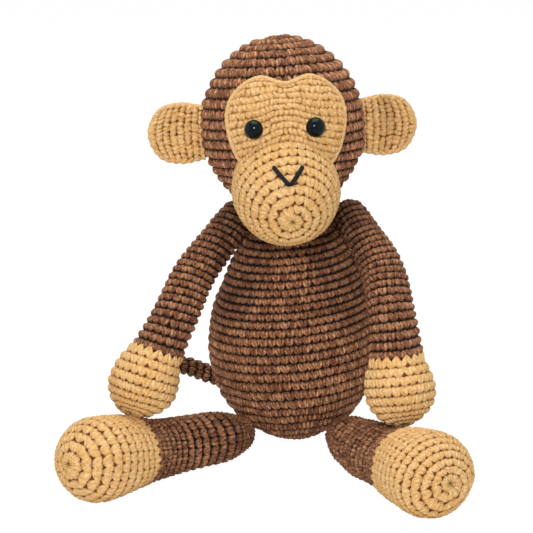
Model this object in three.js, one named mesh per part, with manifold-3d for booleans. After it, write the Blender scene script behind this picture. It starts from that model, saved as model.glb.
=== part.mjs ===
// A crocheted plush monkey with a rattle in its belly, sitting on the floor.
// Millimetres, +Z up. The origin is the middle of the flat of the seat, the monkey faces -Y,
// and left is the monkey's own left, +X.
import * as THREE from "three";
import { mergeVertices } from "three/addons/utils/BufferGeometryUtils.js";
import Module from "manifold-3d";

const wasm = await Module();
wasm.setup();

// Crochet and sewing
const wall = 3; // thickness of a crocheted skin
const gap = 0.3; // between pieces that touch
const seatCut = 0.5; // how deep a soft form is pressed flat on the floor

// Body: an egg
const bodyRadius = 42;
const bodyWidestHeight = 45.5;
const bodyBottomPower = 1.85; // under 2 is more pointed than an ellipse
const bodyTaperPower = 1.85;
const neckHeight = 112.3;
const neckRadius = 16.9;

// Rattle
const capsuleRadius = 15;
const capsuleWall = 1.4;
const capsuleHeight = 50; // of its centre over the floor
const lipHeight = 2.4;
const lipWall = 1.2;
const beadRadius = 2.4;
const beadsInRing = 4;
const beadRingRadius = 5.6;

// Head
const headRadius = 39.2;
const headHalfHeight = 42.6;
const headShift = new THREE.Vector2(-5.7, -5);
const headRoll = -2; // degrees, the crown towards the monkey's right
const headYaw = 3; // degrees, the face towards the monkey's left
const neckClearance = 3.5; // room for the head to nod over the body's rim
const headOpening = 14; // radius of the hole that the stuffing went in by
const seamRingRadius = 13;
const seamYarn = 0.9; // radius of the whipped yarn at the neck

// Face patch: outline as seen from the front, from the head's centre
const patchThickness = 2.6;
const browDip = 24;
const patchFoot = -17.5;
const patchSide = [
  [11.9, 26.6],
  [23.1, 19.3],
  [26.9, 9],
  [22, -10.5],
];
const patchFootAcross = 13.2;

// Muzzle: a round dome that hangs below the patch
const muzzleRadius = 25.1;
const muzzleDepth = 29;
const muzzleForward = 33.2;
const muzzleDrop = 25;
const muzzleShift = -1.2;
const muzzleTilt = 22; // degrees below level
const muzzleYaw = 2.5;

// Nose: a V of two straight stitches, by angles about the dome's centre
const noseYarn = 0.95;
const noseHalfAngle = 15.3;
const noseTopAngle = 54;
const noseFootAngle = 37.5;
const noseFootHalfAngle = 2.6;
const noseMiddleShare = 0.56; // of the half angle, half way down

// Safety eyes and their washers
const eyeRadius = 4.5;
const eyeHeight = 3.9;
const eyeShank = 1.6;
const eyeShankLength = 11;
const eyeAcross = 12.9;
const eyeShift = -1.3;
const eyeLift = 4.1;
const washerRadius = 5.5;
const washerThickness = 1.4;

// Ears
const earLength = 24.5;
const earHeight = 29.8;
const earThickness = 5.2;
const earCurve = [ // shares of its length and of half its height
  [0.36, 0.97],
  [0.78, 0.78],
];
const earRootHeight = 25.5;
const earDrop = 1.9;
const earCup = 2.2; // how far the middle is dished

// Arms and hands. Paths are chosen by hand, from the shoulder's centre
const armRootRadius = 8;
const armMiddleRadius = 10.2;
const armLowerRadius = 11.6;
const wristRadius = 12.4;
const handRadius = 16;
const shoulderDrop = 6.1; // from the neck down to where the seam meets the body
const shoulderAzimuth = 98; // degrees from straight ahead
const cuffToHand = 15; // from the hand's centre up to the change of colour
const handSwell = 1.8; // power of the curve from wrist to hand
const armPaths = {
  left: [[13.4, -35.3, -18.1], [17, -61, -36]],
  right: [[-20.2, -31.4, -22.5], [-31.6, -56.5, -43.5]],
};
const handRest = {
  left: { behindFoot: 40, aside: 6 },
  right: { behindFoot: 31, aside: 0 },
};

// Legs and feet. Paths are chosen by hand, from the hip's centre, flat on the floor
const legRootRadius = 9;
const legUpperRadius = 12;
const legLowerRadius = 13.7;
const ankleRadius = 14.4;
const footRadius = 19.3;
const ankleToFoot = 33; // from the foot's centre up to the change of colour
const footSwell = 1.7; // power of the curve from ankle to foot
const hipAzimuths = { left: 42, right: -50 };
const legPaths = {
  left: [[3.6, -19], [9.8, -35], [33.5, -86.8]],
  right: [[-8, -15.5], [-34.9, -36.4], [-61.3, -69.2]],
};

// Tail. Its path is chosen by hand, from the root's centre
const tailRootRadius = 4.9;
const tailTipRadius = 4.2;
const tailRootHeight = 23;
const tailAzimuth = -176;
const tailPath = [[-18, 5, -3.5], [-37, 2.5, -1.8], [-53, -1.5, 4.8], [-80.5, -10, 11]];

const brown = { color: 0x7d4a31, roughness: 0.95, metalness: 0 };
const tan = { color: 0xdfb57b, roughness: 0.95, metalness: 0 };
const blackPlastic = { color: 0x0c0e12, roughness: 0.12, metalness: 0 };
const blackYarn = { color: 0x141416, roughness: 0.9, metalness: 0 };
const fibre = { color: 0xf2f0ea, roughness: 1, metalness: 0 };
const clearPlastic = { color: 0xe6e9ec, roughness: 0.35, metalness: 0 };
const beadPlastic = { color: 0xd8422f, roughness: 0.3, metalness: 0 };

const degrees = THREE.MathUtils.degToRad;
const up = new THREE.Vector3(0, 0, 1);
const sides = [
  { name: "left", sign: 1 },
  { name: "right", sign: -1 },
];

const monkey = new THREE.Group();

function add(name, geometry, look, parent = monkey) {
  const mesh = new THREE.Mesh(geometry, new THREE.MeshStandardMaterial(look));
  mesh.name = name;
  parent.add(mesh);
  return mesh;
}

// Solids for joining and cutting
function solidOf(geometry) {
  const bare = geometry.clone();
  bare.deleteAttribute("normal");
  bare.deleteAttribute("uv");
  const merged = mergeVertices(bare, 1e-4);
  return new wasm.Manifold(
    new wasm.Mesh({
      numProp: 3,
      vertProperties: new Float32Array(merged.attributes.position.array),
      triVerts: new Uint32Array(merged.index.array),
    }),
  );
}

function geometryOf(solid) {
  const { vertProperties, triVerts } = solid.getMesh();
  const geometry = new THREE.BufferGeometry();
  geometry.setAttribute("position", new THREE.BufferAttribute(vertProperties, 3));
  geometry.setIndex(new THREE.BufferAttribute(triVerts, 1));
  return geometry;
}

function boxSolid(low, high) {
  const box = new THREE.BoxGeometry(high[0] - low[0], high[1] - low[1], high[2] - low[2]);
  box.translate((low[0] + high[0]) / 2, (low[1] + high[1]) / 2, (low[2] + high[2]) / 2);
  return solidOf(box);
}

// A profile of [radius, height] points turned about Z
function turned(points, segments) {
  const profile = points.map(([radius, height]) => new THREE.Vector2(Math.max(radius, 0), height));
  return new THREE.LatheGeometry(profile, segments).rotateX(Math.PI / 2);
}

// Points on an arc, as [radius, height]
function arc(radius, from, to, steps) {
  return Array.from({ length: steps + 1 }, (_, i) => {
    const angle = degrees(from + ((to - from) * i) / steps);
    return [radius * Math.cos(angle), radius * Math.sin(angle)];
  });
}

// Rings of points joined into one closed skin, its first and last ring a single point each
function joinedRings(rings) {
  const positions = [];
  const index = [];
  const starts = rings.map((ring) => {
    const start = positions.length / 3;
    ring.forEach((point) => positions.push(point.x, point.y, point.z));
    return start;
  });
  for (let i = 0; i + 1 < rings.length; i++) {
    const here = rings[i].length;
    const next = rings[i + 1].length;
    const count = Math.max(here, next);
    for (let j = 0; j < count; j++) {
      const k = (j + 1) % count;
      const a = starts[i] + (here > 1 ? j : 0);
      const b = starts[i] + (here > 1 ? k : 0);
      const c = starts[i + 1] + (next > 1 ? j : 0);
      const d = starts[i + 1] + (next > 1 ? k : 0);
      if (here > 1) index.push(a, b, c);
      if (next > 1) index.push(b, d, c);
    }
  }
  const geometry = new THREE.BufferGeometry();
  geometry.setAttribute("position", new THREE.Float32BufferAttribute(positions, 3));
  geometry.setIndex(index);
  return geometry;
}

// The body's outside radius at a height, drawn in by an inset
function bodyRadiusAt(height, inset = 0) {
  const widest = bodyRadius - inset;
  if (height < bodyWidestHeight) {
    const share = (bodyWidestHeight - height) / (bodyWidestHeight + seatCut - inset);
    return widest * Math.max(1 - share ** bodyBottomPower, 0) ** (1 / bodyBottomPower);
  }
  const rise = (height - bodyWidestHeight) / (neckHeight - bodyWidestHeight);
  return widest - (bodyRadius - neckRadius) * rise ** bodyTaperPower;
}

// Points up the body's side, from the seat to the neck
function bodySide(inset, top, steps) {
  const bottom = Math.max(0, inset - seatCut);
  const heights = [];
  for (let i = 0; i < steps; i++) {
    const curl = 1 - Math.cos((Math.PI * i) / (2 * steps));
    heights.push(bottom + (bodyWidestHeight - bottom) * curl);
  }
  for (let i = 0; i <= steps; i++) {
    heights.push(bodyWidestHeight + ((top - bodyWidestHeight) * i) / steps);
  }
  return heights.map((height) => [bodyRadiusAt(height, inset), height]);
}

// Where a limb's round root rests against the body: its centre, from a height on the side
function rootOn(height, azimuth, radius) {
  const step = 0.5;
  const slope = (bodyRadiusAt(height + step) - bodyRadiusAt(height - step)) / (2 * step);
  const outward = 1 / Math.hypot(1, slope);
  const reach = bodyRadiusAt(height) + (radius + gap) * outward;
  const turn = degrees(azimuth);
  return new THREE.Vector3(
    reach * Math.sin(turn),
    -reach * Math.cos(turn),
    height - (radius + gap) * slope * outward,
  );
}

// The seam height at which a limb's root also rests on the floor
function floorRootHeight(radius) {
  let low = 1;
  let high = bodyWidestHeight;
  for (let i = 0; i < 40; i++) {
    const middle = (low + high) / 2;
    if (rootOn(middle, 0, radius).z < radius - seatCut) low = middle;
    else high = middle;
  }
  return (low + high) / 2;
}

const bodySegments = 24;
const capsuleSegments = 16;
const bodySteps = 5; // below the widest part, and above it
const stuffingInset = wall + gap;
const stuffingTop = neckHeight - 1;

function bodySkin() {
  const outside = bodySide(0, neckHeight, bodySteps);
  const inside = bodySide(wall, neckHeight, bodySteps).reverse();
  return turned([[0, 0], ...outside, ...inside, [0, inside.at(-1)[1]]], bodySegments);
}

function bodyStuffing() {
  const side = bodySide(stuffingInset, stuffingTop, bodySteps);
  const whole = turned([[0, side[0][1]], ...side, [0, stuffingTop]], bodySegments);
  const hole = turned(arc(capsuleRadius + gap, -90, 90, 8), capsuleSegments);
  return solidOf(whole).subtract(solidOf(hole.translate(0, 0, capsuleHeight)));
}

add("body_skin", geometryOf(solidOf(bodySkin())), brown);
const wad = bodyStuffing();
const farOff = 2 * (bodyRadius + neckHeight);
const frontHalf = boxSolid([-farOff, -farOff, -farOff], [farOff, -gap / 2, farOff]);
const backHalf = boxSolid([-farOff, gap / 2, -farOff], [farOff, farOff, farOff]);
add("body_stuffing_front", geometryOf(wad.intersect(frontHalf)), fibre);
add("body_stuffing_back", geometryOf(wad.intersect(backHalf)), fibre);

// Rattle: two cups, the lower one with a lip inside the upper one, and loose beads
const cupSteps = 4;
const cupSeam = THREE.MathUtils.radToDeg(Math.asin(gap / capsuleRadius));
const capsuleInner = capsuleRadius - capsuleWall;
const upperInside = arc(capsuleInner, 90, cupSeam, cupSteps);

function lowerCup() {
  const [high, low] = upperInside.slice(-2);
  const room = THREE.MathUtils.mapLinear(lipHeight, low[1], high[1], low[0], high[0]);
  const lipOuter = room - gap;
  const lipInner = lipOuter - lipWall;
  const lipFoot = -THREE.MathUtils.radToDeg(Math.acos(lipInner / capsuleInner));
  return turned(
    [
      ...arc(capsuleRadius, -90, 0, cupSteps),
      [lipOuter, 0],
      [lipOuter, lipHeight],
      [lipInner, lipHeight],
      ...arc(capsuleInner, lipFoot, -90, cupSteps - 1),
    ],
    capsuleSegments,
  );
}

function upperCup() {
  const outside = arc(capsuleRadius, cupSeam, 90, cupSteps);
  return turned([...outside, ...upperInside, outside[0]], capsuleSegments);
}

add("rattle_capsule_lower", lowerCup(), clearPlastic).position.z = capsuleHeight;
add("rattle_capsule_upper", upperCup(), clearPlastic).position.z = capsuleHeight;

// A bead lies in the bowl of the lower cup, kept off it by the cup's flat facets
const bowl = capsuleInner * Math.cos(Math.PI / (2 * cupSteps)) - beadRadius - gap;
function addBead(number, radius, angle) {
  const bead = add(`rattle_bead_${number}`, new THREE.SphereGeometry(beadRadius, 8, 6), beadPlastic);
  const drop = Math.sqrt(bowl * bowl - radius * radius);
  bead.position.set(radius * Math.cos(angle), radius * Math.sin(angle), capsuleHeight - drop);
}
addBead(1, 0, 0);
for (let i = 0; i < beadsInRing; i++) {
  addBead(i + 2, beadRingRadius, (2 * Math.PI * (i + 0.5)) / beadsInRing);
}

// Head, in a group of its own that is rolled and turned a little
const headSegments = 24;
const headSteps = 10;
const rimAcross = neckRadius - headShift.length(); // where the body's rim is nearest under the head
const rimShare = Math.sqrt(1 - (rimAcross / headRadius) ** 2);
const headHeight = neckHeight + neckClearance + headHalfHeight * rimShare;
const head = new THREE.Group();
head.position.set(headShift.x, headShift.y, headHeight);
head.rotation.set(0, degrees(headRoll), degrees(headYaw));
monkey.add(head);

// A point on the head, or off it by a lift, over a place seen from the front
function onHead(x, z, lift = 0) {
  const inside = Math.max(1 - (x / headRadius) ** 2 - (z / headHalfHeight) ** 2, 0.02);
  const point = new THREE.Vector3(x, -headRadius * Math.sqrt(inside), z);
  return point.addScaledVector(headNormal(point), lift);
}

function headNormal(point) {
  return new THREE.Vector3(
    point.x / headRadius ** 2,
    point.y / headRadius ** 2,
    point.z / headHalfHeight ** 2,
  ).normalize();
}

function headArc(inset, opening, steps) {
  const radius = headRadius - inset;
  const half = headHalfHeight - inset;
  const start = -Math.acos(opening / radius);
  return Array.from({ length: steps + 1 }, (_, i) => {
    const angle = start + ((Math.PI / 2 - start) * i) / steps;
    return [radius * Math.cos(angle), half * Math.sin(angle)];
  });
}

function eyeFrame(sign) {
  const across = eyeShift + sign * eyeAcross;
  const seat = onHead(across, eyeLift, patchThickness + 2 * gap);
  const frame = new THREE.Object3D();
  frame.position.copy(seat);
  frame.quaternion.setFromUnitVectors(up, headNormal(onHead(across, eyeLift)));
  frame.updateMatrix();
  return frame;
}

function eyeHole(sign, radius, from, to) {
  const hole = new THREE.CylinderGeometry(radius, radius, to - from, 12);
  hole.rotateX(Math.PI / 2).translate(0, 0, (from + to) / 2);
  return solidOf(hole.applyMatrix4(eyeFrame(sign).matrix));
}

// The washer lies behind the skin, which is hollow there and made of flat facets
const throughSkins = [-eyeShankLength - wall, eyeHeight];
const skinHollow = washerRadius ** 2 / (2 * (headRadius - wall));
const skinFacets = 2 * headRadius * (1 - Math.cos(Math.PI / headSegments));
const washerSeat = -(patchThickness + wall + 3 * gap + skinHollow + skinFacets);

function headSkin() {
  const outside = headArc(0, headOpening, headSteps);
  const inside = headArc(wall, headOpening, headSteps).reverse();
  let skin = solidOf(turned([...outside, ...inside, outside[0]], headSegments));
  for (const { sign } of sides) {
    skin = skin.subtract(eyeHole(sign, eyeShank + gap, ...throughSkins));
  }
  return geometryOf(skin);
}

function headStuffing() {
  const outside = headArc(wall + gap, headOpening, headSteps);
  const profile = [[0, outside[0][1]], ...outside];
  let stuffing = solidOf(turned(profile, headSegments));
  for (const { sign } of sides) {
    stuffing = stuffing.subtract(eyeHole(sign, washerRadius + gap, -eyeShankLength - gap, eyeHeight));
  }
  return geometryOf(stuffing);
}

add("head_skin", headSkin(), brown, head);
add("head_stuffing", headStuffing(), fibre, head);

// Neck: one whipped ring of yarn between the body's rim and the head, half way between their axes
function neckSeam() {
  const ring = new THREE.TorusGeometry(seamRingRadius, seamYarn, 6, bodySegments);
  return ring.translate(headShift.x / 2, headShift.y / 2, neckHeight + seamYarn + gap);
}
add("neck_seam", neckSeam(), brown);

// Face patch: a sheet that follows the head
const patchSegments = 32;
const patchRings = 4;

function patchOutline() {
  const half = [[0, browDip], ...patchSide, [patchFootAcross, patchFoot]];
  const mirrored = half.slice(1).map(([x, z]) => [-x, z]).reverse();
  const points = [...half, ...mirrored].map(([x, z]) => new THREE.Vector3(x, 0, z));
  return new THREE.CatmullRomCurve3(points, true, "centripetal").getSpacedPoints(patchSegments);
}

function facePatch() {
  const outline = patchOutline().slice(0, patchSegments);
  const middle = new THREE.Vector3(0, 0, (browDip + patchFoot) / 2);
  const ring = (share, lift) =>
    outline.map((point) => {
      const place = middle.clone().lerp(point, share);
      return onHead(place.x, place.z, lift);
    });
  const outer = [];
  const inner = [];
  for (let i = 1; i <= patchRings; i++) {
    outer.push(ring(i / patchRings, patchThickness + gap));
    inner.push(ring(i / patchRings, gap));
  }
  const rings = [
    [onHead(middle.x, middle.z, patchThickness + gap)],
    ...outer,
    ...inner.reverse(),
    [onHead(middle.x, middle.z, gap)],
  ];
  let patch = solidOf(joinedRings(rings));
  for (const { sign } of sides) {
    patch = patch.subtract(eyeHole(sign, eyeShank + gap, ...throughSkins));
  }
  return patch;
}

const patchSolid = facePatch();
add("face_patch", geometryOf(patchSolid), tan, head);

// Eyes: a dome with a shank, and the washer that is pushed on behind the skins
function eye() {
  const dome = arc(1, 0, 90, 4).map(([x, y]) => [eyeRadius * x, eyeHeight * y]);
  return turned(
    [[0, -eyeShankLength], [eyeShank, -eyeShankLength], [eyeShank, 0], ...dome],
    12,
  );
}

function washer() {
  const hole = eyeShank + gap;
  const top = washerSeat;
  const foot = washerSeat - washerThickness;
  return turned([[hole, foot], [washerRadius, foot], [washerRadius, top], [hole, top], [hole, foot]], 12);
}

for (const { name, sign } of sides) {
  const frame = eyeFrame(sign);
  const place = (mesh) => {
    mesh.position.copy(frame.position);
    mesh.quaternion.copy(frame.quaternion);
  };
  place(add(`eye_${name}`, eye(), blackPlastic, head));
  place(add(`eye_washer_${name}`, washer(), clearPlastic, head));
}

// Muzzle: a dome along its own axis, its open back cut to the head and the patch
const muzzleSegments = 20;
const muzzleSteps = 10;
const muzzleBackAngle = -50; // far enough behind the dome's middle to end inside the head

function muzzleFrame() {
  const frame = new THREE.Object3D();
  frame.position.set(muzzleShift, -muzzleForward, -muzzleDrop);
  frame.rotation.set(degrees(90 + muzzleTilt), 0, degrees(muzzleYaw), "ZXY");
  frame.updateMatrix();
  return frame;
}

function domeProfile(inset) {
  const radius = muzzleRadius - inset;
  const depth = muzzleDepth - inset;
  return arc(1, muzzleBackAngle, 90, muzzleSteps).map(([x, y]) => [radius * x, depth * y]);
}

// A ball over the head and the patch, its flat facets clear of them
function behindMuzzle() {
  const facets = Math.cos(Math.PI / headSegments) ** 2;
  const ball = new THREE.SphereGeometry(1 / facets, headSegments, headSegments / 2);
  const growth = patchThickness + 2 * gap;
  ball.rotateX(Math.PI / 2);
  ball.scale(headRadius + growth, headRadius + growth, headHalfHeight + growth);
  return solidOf(ball);
}

const muzzleBack = behindMuzzle();

function muzzleSkin() {
  const outside = domeProfile(0);
  const inside = domeProfile(wall).reverse();
  const cup = turned([...outside, ...inside, outside[0]], muzzleSegments);
  return geometryOf(solidOf(cup.applyMatrix4(muzzleFrame().matrix)).subtract(muzzleBack));
}

function muzzleStuffing() {
  const outside = domeProfile(wall + gap);
  const plug = turned([[0, outside[0][1]], ...outside], muzzleSegments);
  return geometryOf(solidOf(plug.applyMatrix4(muzzleFrame().matrix)).subtract(muzzleBack));
}

add("muzzle_skin", muzzleSkin(), tan, head);
add("muzzle_stuffing", muzzleStuffing(), fibre, head);

// A point over the dome: across and up are angles from its pole
function onMuzzle(across, rise, lift) {
  const x = Math.sin(degrees(across));
  const y = Math.sin(degrees(rise));
  const z = Math.sqrt(1 - x * x - y * y);
  const point = new THREE.Vector3(
    (muzzleRadius + lift) * x,
    (muzzleRadius + lift) * y,
    (muzzleDepth + lift) * z,
  );
  return point.applyMatrix4(muzzleFrame().matrix);
}

// A tube of rings square to a curve
const noseSteps = 4;
const noseSides = 8;

function tube(curve, radius, steps, sideCount) {
  const frames = curve.computeFrenetFrames(steps, false);
  const rings = [[curve.getPointAt(0)]];
  for (let i = 0; i <= steps; i++) {
    rings.push(ringAt(curve.getPointAt(i / steps), frames, i, radius, sideCount));
  }
  rings.push([curve.getPointAt(1)]);
  return joinedRings(rings);
}

function ringAt(centre, frames, i, radius, sideCount) {
  return Array.from({ length: sideCount }, (_, j) => {
    const angle = (2 * Math.PI * j) / sideCount;
    return centre
      .clone()
      .addScaledVector(frames.normals[i], radius * Math.cos(angle))
      .addScaledVector(frames.binormals[i], radius * Math.sin(angle));
  });
}

for (const { name, sign } of sides) {
  const lift = noseYarn + gap;
  const middle = (noseTopAngle + noseFootAngle) / 2;
  const stitch = new THREE.CatmullRomCurve3([
    onMuzzle(sign * noseHalfAngle, noseTopAngle, lift),
    onMuzzle(sign * noseHalfAngle * noseMiddleShare, middle, lift),
    onMuzzle(sign * noseFootHalfAngle, noseFootAngle, lift),
  ]);
  add(`nose_stitch_${name}`, tube(stitch, noseYarn, noseSteps, noseSides), blackYarn, head);
}

// Ears: dished pads with a straight root that is round about the hinge line
const earSegments = 22;
const earRings = 4;

function earOutline() {
  const curved = earCurve.map(([along, high]) => [earLength * along, (earHeight / 2) * high]);
  const upper = [[0, earRootHeight / 2], ...curved];
  const lower = upper.map(([x, z]) => [x, -z]).reverse();
  const points = [...upper, [earLength, 0], ...lower];
  const places = points.map(([x, z]) => new THREE.Vector3(x, 0, z));
  const round = new THREE.CatmullRomCurve3(places, false, "centripetal");
  return round.getSpacedPoints(earSegments);
}

function ear(sign) {
  const outline = earOutline();
  const middle = new THREE.Vector3(earLength / 2, 0, 0);
  const ring = (share, face) =>
    outline.map((point) => {
      const place = middle.clone().lerp(point, share);
      const thick = (earThickness / 2) * Math.sqrt(1 - share ** 4);
      const dish = earCup * (1 - share ** 2);
      return new THREE.Vector3(sign * place.x, dish + face * thick, place.z);
    });
  const centre = (face) => [
    new THREE.Vector3(sign * middle.x, earCup + (face * earThickness) / 2, 0),
  ];
  const front = [];
  const back = [];
  for (let i = 1; i < earRings; i++) {
    const share = Math.sin((Math.PI / 2) * (i / earRings));
    front.push(ring(share, -1));
    back.push(ring(share, 1));
  }
  const rings = [centre(-1), ...front, ring(1, 0), ...back.reverse(), centre(1)];
  return joinedRings(sign > 0 ? rings : rings.reverse());
}

for (const { name, sign } of sides) {
  const reach = headRadius * Math.sqrt(1 - (earDrop / headHalfHeight) ** 2);
  const mesh = add(`ear_${name}`, ear(sign), tan, head);
  mesh.position.set(sign * (reach + 2 * gap), 0, -earDrop);
}

// Limbs: round ends on a curve, with a skin in two colours round one core of stuffing
const limbSides = 10;
const nearSteps = 6;
const farSteps = 3;
const restSteps = 40; // sections of a leg that a hand is tried on
const capShares = [1, 0.87, 0.5]; // shares of a round end's radius at which its rings stand
const divisions = 200; // in which a curve is measured
const pole = 0.01; // a ring smaller than this is a point

function makeLimb({ points, radii, endRadius, cuff, reference }) {
  const curve = new THREE.CatmullRomCurve3(points, false, "centripetal");
  const lengths = curve.getLengths(divisions);
  const length = lengths.at(-1);
  const change = length - cuff.back;
  const stations = radii.slice(0, -1).map((radius, i) => {
    return [lengths[Math.round((divisions * i) / (points.length - 1))], radius];
  });
  stations.push([change, radii.at(-1)]);
  const radiusAt = (distance) => {
    if (distance >= change) {
      const back = Math.max(length - distance, 0) / cuff.back;
      return endRadius - (endRadius - radii.at(-1)) * back ** cuff.power;
    }
    const i = Math.max(stations.findIndex(([at]) => at > distance), 1);
    const [low, lowRadius] = stations[i - 1];
    const [high, highRadius] = stations[i];
    return THREE.MathUtils.mapLinear(Math.max(distance, 0), low, high, lowRadius, highRadius);
  };
  return { curve, length, change, radiusAt, reference };
}

function limbRing(limb, distance, inset) {
  const { curve, length, radiusAt, reference } = limb;
  const onCurve = THREE.MathUtils.clamp(distance, 0, length);
  const along = curve.getTangentAt(onCurve / length);
  const pastEnd = distance - onCurve;
  const centre = curve.getPointAt(onCurve / length).addScaledVector(along, pastEnd);
  const radius = Math.sqrt(Math.max((radiusAt(onCurve) - inset) ** 2 - pastEnd ** 2, 0));
  if (radius < pole) return [centre];
  const across = reference.clone().addScaledVector(along, -reference.dot(along)).normalize();
  const round = new THREE.Vector3().crossVectors(along, across);
  return Array.from({ length: limbSides }, (_, j) => {
    const angle = (2 * Math.PI * j) / limbSides;
    return centre
      .clone()
      .addScaledVector(across, radius * Math.cos(angle))
      .addScaledVector(round, radius * Math.sin(angle));
  });
}

function spread(from, to, steps) {
  return Array.from({ length: steps + 1 }, (_, i) => from + ((to - from) * i) / steps);
}

// Distances along a limb from its root's pole, and to its end's pole
function nearStations(limb, to, inset) {
  const radius = limb.radiusAt(0) - inset;
  return [...capShares.map((share) => -radius * share), ...spread(0, to, nearSteps)];
}

function farStations(limb, from, inset) {
  const radius = limb.radiusAt(limb.length) - inset;
  const cap = capShares.map((share) => limb.length + radius * share).reverse();
  return [...spread(from, limb.length, farSteps), ...cap];
}

function ringsAt(limb, stations, inset) {
  return stations.map((distance) => limbRing(limb, distance, inset));
}

function nearSkin(limb) {
  const edge = limb.change - gap / 2;
  const outside = ringsAt(limb, nearStations(limb, edge, 0), 0);
  const inside = ringsAt(limb, nearStations(limb, edge, wall), wall).reverse();
  return joinedRings([...outside, ...inside]);
}

function farSkin(limb) {
  const edge = limb.change + gap / 2;
  const outside = ringsAt(limb, farStations(limb, edge, 0), 0);
  const inside = ringsAt(limb, farStations(limb, edge, wall), wall).reverse();
  return joinedRings([...inside, ...outside]);
}

function wholeLimb(limb, inset) {
  const near = nearStations(limb, limb.change, inset);
  const far = farStations(limb, limb.change, inset).slice(1);
  return joinedRings(ringsAt(limb, [...near, ...far], inset));
}

function abovePath(root, path) {
  return [root, ...path.map(([x, y, z]) => root.clone().add(new THREE.Vector3(x, y, z)))];
}

// A leg lies on the floor, so its middle is as high as it is thick, less the flat
function legPoints(name, radii) {
  const hip = rootOn(floorRootHeight(legRootRadius), hipAzimuths[name], legRootRadius);
  const rest = legPaths[name].map(
    ([x, y], i) => new THREE.Vector3(hip.x + x, hip.y + y, radii[i] - seatCut),
  );
  return [hip, ...rest];
}

function pressedFlat(geometry) {
  const over = boxSolid([-farOff, -farOff, 0], [farOff, farOff, farOff]);
  return geometryOf(solidOf(geometry).intersect(over));
}

// A hand rests on its leg, as low as every section of the leg lets it lie
function handPlace(name, sign, leg) {
  const { behindFoot, aside } = handRest[name];
  const place = leg.curve.getPointAt((leg.length - behindFoot) / leg.length);
  place.x += sign * aside;
  const heights = spread(0, leg.length, restSteps).map((distance) => {
    const under = leg.curve.getPointAt(distance / leg.length);
    const reach = leg.radiusAt(distance) + handRadius + 2 * gap;
    const away = Math.hypot(place.x - under.x, place.y - under.y);
    return under.z + Math.sqrt(Math.max(reach ** 2 - away ** 2, 0));
  });
  place.z = Math.max(...heights);
  return place;
}

for (const { name, sign } of sides) {
  const leg = makeLimb({
    points: legPoints(name, [legUpperRadius, legLowerRadius, footRadius]),
    radii: [legRootRadius, legUpperRadius, legLowerRadius, ankleRadius],
    endRadius: footRadius,
    cuff: { back: ankleToFoot, power: footSwell },
    reference: up,
  });
  add(`leg_${name}`, pressedFlat(nearSkin(leg)), brown);
  add(`foot_${name}`, pressedFlat(farSkin(leg)), tan);
  add(`leg_stuffing_${name}`, wholeLimb(leg, wall + gap), fibre);

  const shoulder = rootOn(neckHeight - shoulderDrop, sign * shoulderAzimuth, armRootRadius);
  const arm = makeLimb({
    points: [...abovePath(shoulder, armPaths[name]), handPlace(name, sign, leg)],
    radii: [armRootRadius, armMiddleRadius, armLowerRadius, wristRadius],
    endRadius: handRadius,
    cuff: { back: cuffToHand, power: handSwell },
    reference: new THREE.Vector3(1, 0, 0),
  });
  add(`arm_${name}`, nearSkin(arm), brown);
  add(`hand_${name}`, farSkin(arm), tan);
  add(`arm_stuffing_${name}`, wholeLimb(arm, wall + gap), fibre);
}

const tailRoot = rootOn(tailRootHeight, tailAzimuth, tailRootRadius);
const tail = makeLimb({
  points: abovePath(tailRoot, tailPath),
  radii: [tailRootRadius, tailRootRadius, tailTipRadius],
  endRadius: tailTipRadius,
  cuff: { back: 4 * tailTipRadius, power: 1 },
  reference: up,
});
add("tail", wholeLimb(tail, 0), brown);

export default monkey;
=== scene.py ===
from math import cos, pi, radians, sin, sqrt
import bpy
import numpy as np
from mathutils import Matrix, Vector


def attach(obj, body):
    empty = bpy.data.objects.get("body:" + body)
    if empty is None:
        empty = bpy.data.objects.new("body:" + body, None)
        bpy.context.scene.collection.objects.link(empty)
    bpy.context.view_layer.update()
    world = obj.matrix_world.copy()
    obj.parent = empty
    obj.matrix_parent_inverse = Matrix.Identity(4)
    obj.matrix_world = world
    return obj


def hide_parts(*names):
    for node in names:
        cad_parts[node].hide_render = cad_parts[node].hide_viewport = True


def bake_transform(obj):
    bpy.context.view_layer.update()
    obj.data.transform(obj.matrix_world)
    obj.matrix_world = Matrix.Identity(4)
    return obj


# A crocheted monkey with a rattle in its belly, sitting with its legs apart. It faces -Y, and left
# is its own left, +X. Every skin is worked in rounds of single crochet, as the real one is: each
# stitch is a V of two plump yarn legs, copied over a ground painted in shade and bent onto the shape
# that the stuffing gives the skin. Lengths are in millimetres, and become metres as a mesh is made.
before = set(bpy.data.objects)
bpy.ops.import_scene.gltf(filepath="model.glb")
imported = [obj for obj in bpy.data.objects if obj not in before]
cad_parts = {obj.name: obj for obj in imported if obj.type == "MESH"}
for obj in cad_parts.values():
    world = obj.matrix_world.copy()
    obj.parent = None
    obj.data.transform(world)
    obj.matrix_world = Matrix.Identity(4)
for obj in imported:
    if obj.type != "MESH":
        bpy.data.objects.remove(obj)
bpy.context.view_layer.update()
mm = 0.001
dice = np.random.default_rng(7)


def turn(axis, degrees):
    c, s = cos(radians(degrees)), sin(radians(degrees))
    rows = {
        "x": [[1, 0, 0], [0, c, -s], [0, s, c]],
        "y": [[c, 0, s], [0, 1, 0], [-s, 0, c]],
        "z": [[c, -s, 0], [s, c, 0], [0, 0, 1]],
    }
    return np.array(rows[axis])


def unit(vectors):
    return vectors / np.maximum(np.linalg.norm(vectors, axis=-1, keepdims=True), 1e-9)


# Materials

def linear(hexColour):
    parts = [int(hexColour[i : i + 2], 16) / 255 for i in (1, 3, 5)]
    return [p / 12.92 if p <= 0.04045 else ((p + 0.055) / 1.055) ** 2.4 for p in parts] + [1]


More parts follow.
